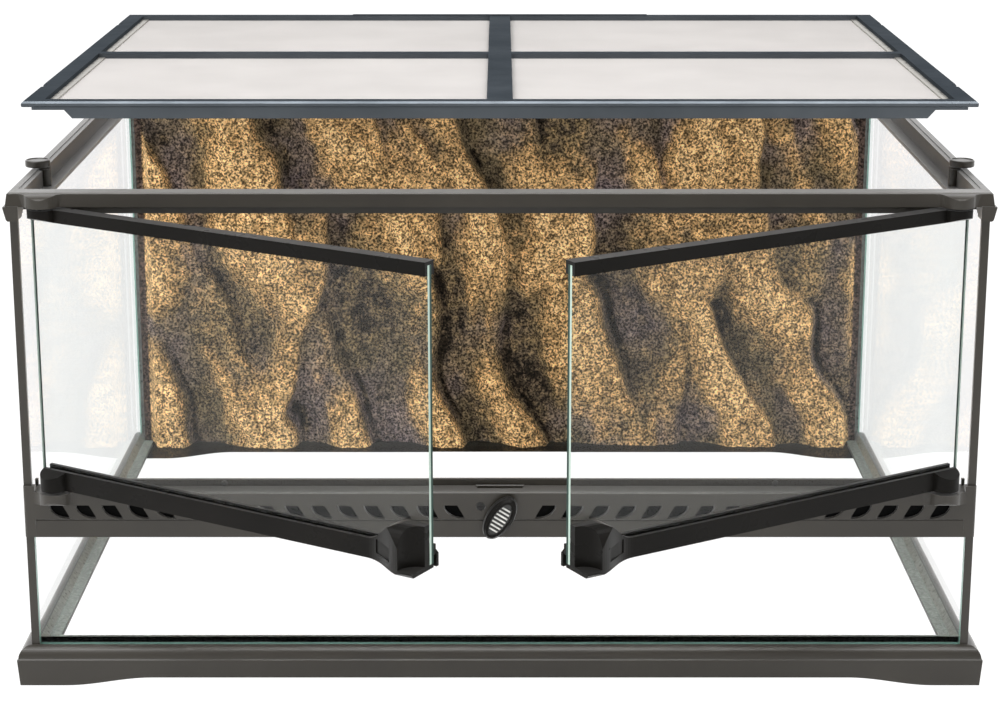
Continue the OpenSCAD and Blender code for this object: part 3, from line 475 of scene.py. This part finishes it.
def relief(x, z):
    """Height of the rock at a place on the panel (x and z in mm), and how grey the wash is there.
    Broad ribs lean one way, in places a second set crosses and forks them, and both bend."""
    bend = BEND_MM * swell(x, z, *BENDS) + KINK_MM * swell(x, z, *KINKS)
    leaning = rib(x, z, bend, *LEANING_RIBS)
    crossing = rib(x, z, CROSSING_BEND * bend, *CROSSING_RIBS) * zone(x, z, *FORK_ZONES)
    furrows = rubble(x + FURROW_LEAN * z + bend, z, *FURROWS)
    lumps = rubble(x, z, *LUMPS)
    height = max(leaning, crossing) + FURROW_HEIGHT * furrows + LUMP_HEIGHT * lumps
    return height, zone(x, z, *GREY_ZONES)


def on_flank(depth):
    """1 on the flanks, fading to 0 in the troughs and on the crests."""
    return smooth_step((FLANK_TOP - depth) / TOP_FADE) * smooth_step(depth / TROUGH_FADE)


def rock_panel():
    """The relief in front of a flat foam slab, on the space the CAD panel keeps for it."""
    low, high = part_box("background_panel")
    columns = round((high[0] - low[0]) / POINT_GAP)
    rows = round((high[2] - low[2]) / POINT_GAP)
    xs = np.linspace(low[0], high[0], columns + 1)
    zs = np.linspace(low[2], high[2], rows + 1)
    rock = np.array([[relief(x / MM, z / MM) for x in xs] for z in zs])
    depth, grey = rock[:, :, 0], rock[:, :, 1]
    ground, crown = (np.percentile(depth, level) for level in CUT_LEVELS)
    depth = np.clip((depth - ground) / (crown - ground), 0, 1)
    margins = [min(x - low[0], high[0] - x) for x in xs]
    rise = np.array([smooth_step((margin - RIM_WIDTH) / SHOULDER) for margin in margins])
    deepest = (high[1] - low[1]) - SLAB
    front = high[1] - SLAB - deepest * (depth * rise)
    shape = bmesh.new()
    grid = [[shape.verts.new((x, front[j, i], z)) for i, x in enumerate(xs)]
            for j, z in enumerate(zs)]
    back = {}

    def rear(i, j):
        """The slab's rear point behind a point on the panel's outline."""
        if (i, j) not in back:
            back[i, j] = shape.verts.new((xs[i], high[1], zs[j]))
        return back[i, j]

    for j in range(rows):
        for i in range(columns):
            shape.faces.new((grid[j][i], grid[j][i + 1], grid[j + 1][i + 1], grid[j + 1][i]))
    outline = ([(i, 0) for i in range(columns)] + [(columns, j) for j in range(rows)]
               + [(i, rows) for i in range(columns, 0, -1)] + [(0, j) for j in range(rows, 0, -1)])
    for (i, j), (next_i, next_j) in zip(outline, outline[1:] + outline[:1]):
        shape.faces.new((grid[next_j][next_i], grid[j][i], rear(i, j), rear(next_i, next_j)))
    shape.faces.new([rear(i, j) for i, j in reversed(outline)])
    shape.verts.index_update()
    marks = {grid[j][i].index: (depth[j, i], GREYEST * on_flank(depth[j, i]) * grey[j, i],
                                1.0 if margins[i] < RIM_WIDTH else 0.0)
             for j in range(rows + 1) for i in range(columns + 1)}
    mesh = bpy.data.meshes.new("rock_panel")
    shape.to_mesh(mesh)
    shape.free()
    for place, name in enumerate(ROCK_MARKS):
        values = mesh.attributes.new(name, "FLOAT", "POINT").data
        for index, mark in marks.items():
            values[index].value = mark[place]
    for polygon in mesh.polygons:
        polygon.use_smooth = True
    mesh.materials.append(rock_foam())
    panel = new_object("rock_panel", mesh)
    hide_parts("background_panel")
    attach(panel, TANK)


rock_panel()


# ---- sealant bedding round the floor pane ----

def bedding():
    """A thin flat ring of sealant along the floor pane's edges."""
    low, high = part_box("bottom_glass")
    width, thick, lift = 11 * MM, 0.3 * MM, 0.1 * MM
    bottom, top = high[2] + lift, high[2] + lift + thick
    outer, inner = ([(low[0] + inset, low[1] + inset), (high[0] - inset, low[1] + inset),
                     (high[0] - inset, high[1] - inset), (low[0] + inset, high[1] - inset)]
                    for inset in (0, width))
    shape = bmesh.new()
    rings = [[shape.verts.new((x, y, z)) for x, y in ring]
             for ring, z in ((outer, bottom), (outer, top), (inner, top), (inner, bottom))]
    for ring, following in zip(rings, rings[1:] + rings[:1]):
        for k in range(4):
            n = (k + 1) % 4
            shape.faces.new((ring[k], ring[n], following[n], following[k]))
    bmesh.ops.recalc_face_normals(shape, faces=shape.faces)
    mesh = bpy.data.meshes.new("floor_bedding")
    shape.to_mesh(mesh)
    shape.free()
    mesh.materials.append(bedding_sealant())
    piece = new_object("floor_bedding", mesh)
    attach(piece, TANK)


bedding()


# ---- floor, light and camera ----

WHITE = (1, 1, 1, 1)
BACKDROP = 1.13             # a little over white, as it is seen through several panes
FLOOR_HALF = 6.0            # m from the middle of the floor to its sides

# how the surrounding light changes with the direction: axis (1 back, 2 up), the stretch of the
# direction on that axis, and the light at both ends of the stretch
ROOM_TO_CEILING = (2, (0.08, 0.18), (0.3, 1.7))
CEILING_TO_TOP = (2, (0.35, 0.7), (1.0, 0.4))
FRONT_TO_REAR = (1, (-0.5, 0.2), (0.6, 1.0))

# name, place in metres, width and depth in metres, watts
LAMPS = (("key", (-1.6, -1.5, 2.2), (1.4, 1.4), 30),
         ("overhead", (0.0, -0.62, 2.0), (3.0, 0.6), 58))
LAMP_AIM = Vector((0, 0, 0.15))

EYE = (0.0001, -1.6045, 0.6034)     # metres
LOOK_DOWN = 14.11           # degrees under the horizon
LENS_PX, FRAME_PX = 2306, 1000
SENSOR_MM = 36.0
SHIFT_DOWN = 0.06           # as a share of the frame's width


def seen_white(tree):
    """1 for what the eye sees directly or through glass, else 0."""
    rays = add_node(tree, "LightPath").outputs
    return add_node(tree, "Math", [rays["Is Camera Ray"], rays["Is Transmission Ray"]],
                    operation="MAXIMUM")


def studio():
    """A white backdrop for the eye. The light itself comes from a bright ceiling over a dim room,
    dimmer towards the front, from a soft key at the upper left and from a long softbox overhead."""
    world = bpy.data.worlds.new("studio")
    bpy.context.scene.world = world
    world.use_nodes = True
    tree = world.node_tree
    tree.nodes.clear()
    generated = add_node(tree, "TexCoord").outputs["Generated"]
    direction = add_node(tree, "SeparateXYZ", [generated]).outputs
    ceiling, top, rear = (
        add_node(tree, "MapRange", [direction[axis], *stretch, *light])
        for axis, stretch, light in (ROOM_TO_CEILING, CEILING_TO_TOP, FRONT_TO_REAR))
    overhead = add_node(tree, "Math", [ceiling, top], operation="MULTIPLY")
    room = add_node(tree, "Math", [overhead, rear], operation="MULTIPLY")
    strength = add_node(tree, "Mix", {0: seen_white(tree), 2: room, 3: BACKDROP},
                        data_type="FLOAT")
    dome = add_node(tree, "Background", [WHITE, strength])
    add_node(tree, "OutputWorld", [dome])
    for name, place, size, watts in LAMPS:
        lamp = bpy.data.lights.new(name, "AREA")
        lamp.shape = "RECTANGLE"
        lamp.size, lamp.size_y = size
        lamp.energy = watts
        hung = new_object(name, lamp)
        hung.location = place
        hung.rotation_euler = (LAMP_AIM - Vector(place)).to_track_quat("-Z", "Y").to_euler()


def pale_floor():
    """A matt floor that the eye sees as plain white, while the lamps' light bounces off it."""
    side = FLOOR_HALF
    mesh = bpy.data.meshes.new("floor")
    mesh.from_pydata([(-side, -side, 0), (side, -side, 0), (side, side, 0), (-side, side, 0)],
                     [], [(0, 1, 2, 3)])
    floor = new_object("floor", mesh)
    material, tree = new_material("pale_floor")
    matt = add_node(tree, "BsdfPrincipled", {"Base Color": rgb("#f2f2f1"), "Roughness": 0.9})
    glow = add_node(tree, "Emission", [WHITE, BACKDROP])
    add_node(tree, "OutputMaterial", [
        add_node(tree, "MixShader", [seen_white(tree), matt, glow])])
    mesh.materials.append(material)


def camera():
    """The view into the open front from a little above the tank."""
    data = bpy.data.cameras.new("camera")
    data.sensor_width = SENSOR_MM
    data.lens = SENSOR_MM * LENS_PX / FRAME_PX
    data.shift_y = -SHIFT_DOWN
    data.clip_end = 50
    view = new_object("camera", data)
    view.location = EYE
    view.rotation_euler = (math.radians(90 - LOOK_DOWN), 0, 0)
    bpy.context.scene.camera = view


studio()
pale_floor()
camera()
bpy.context.scene.view_settings.view_transform = "Standard"
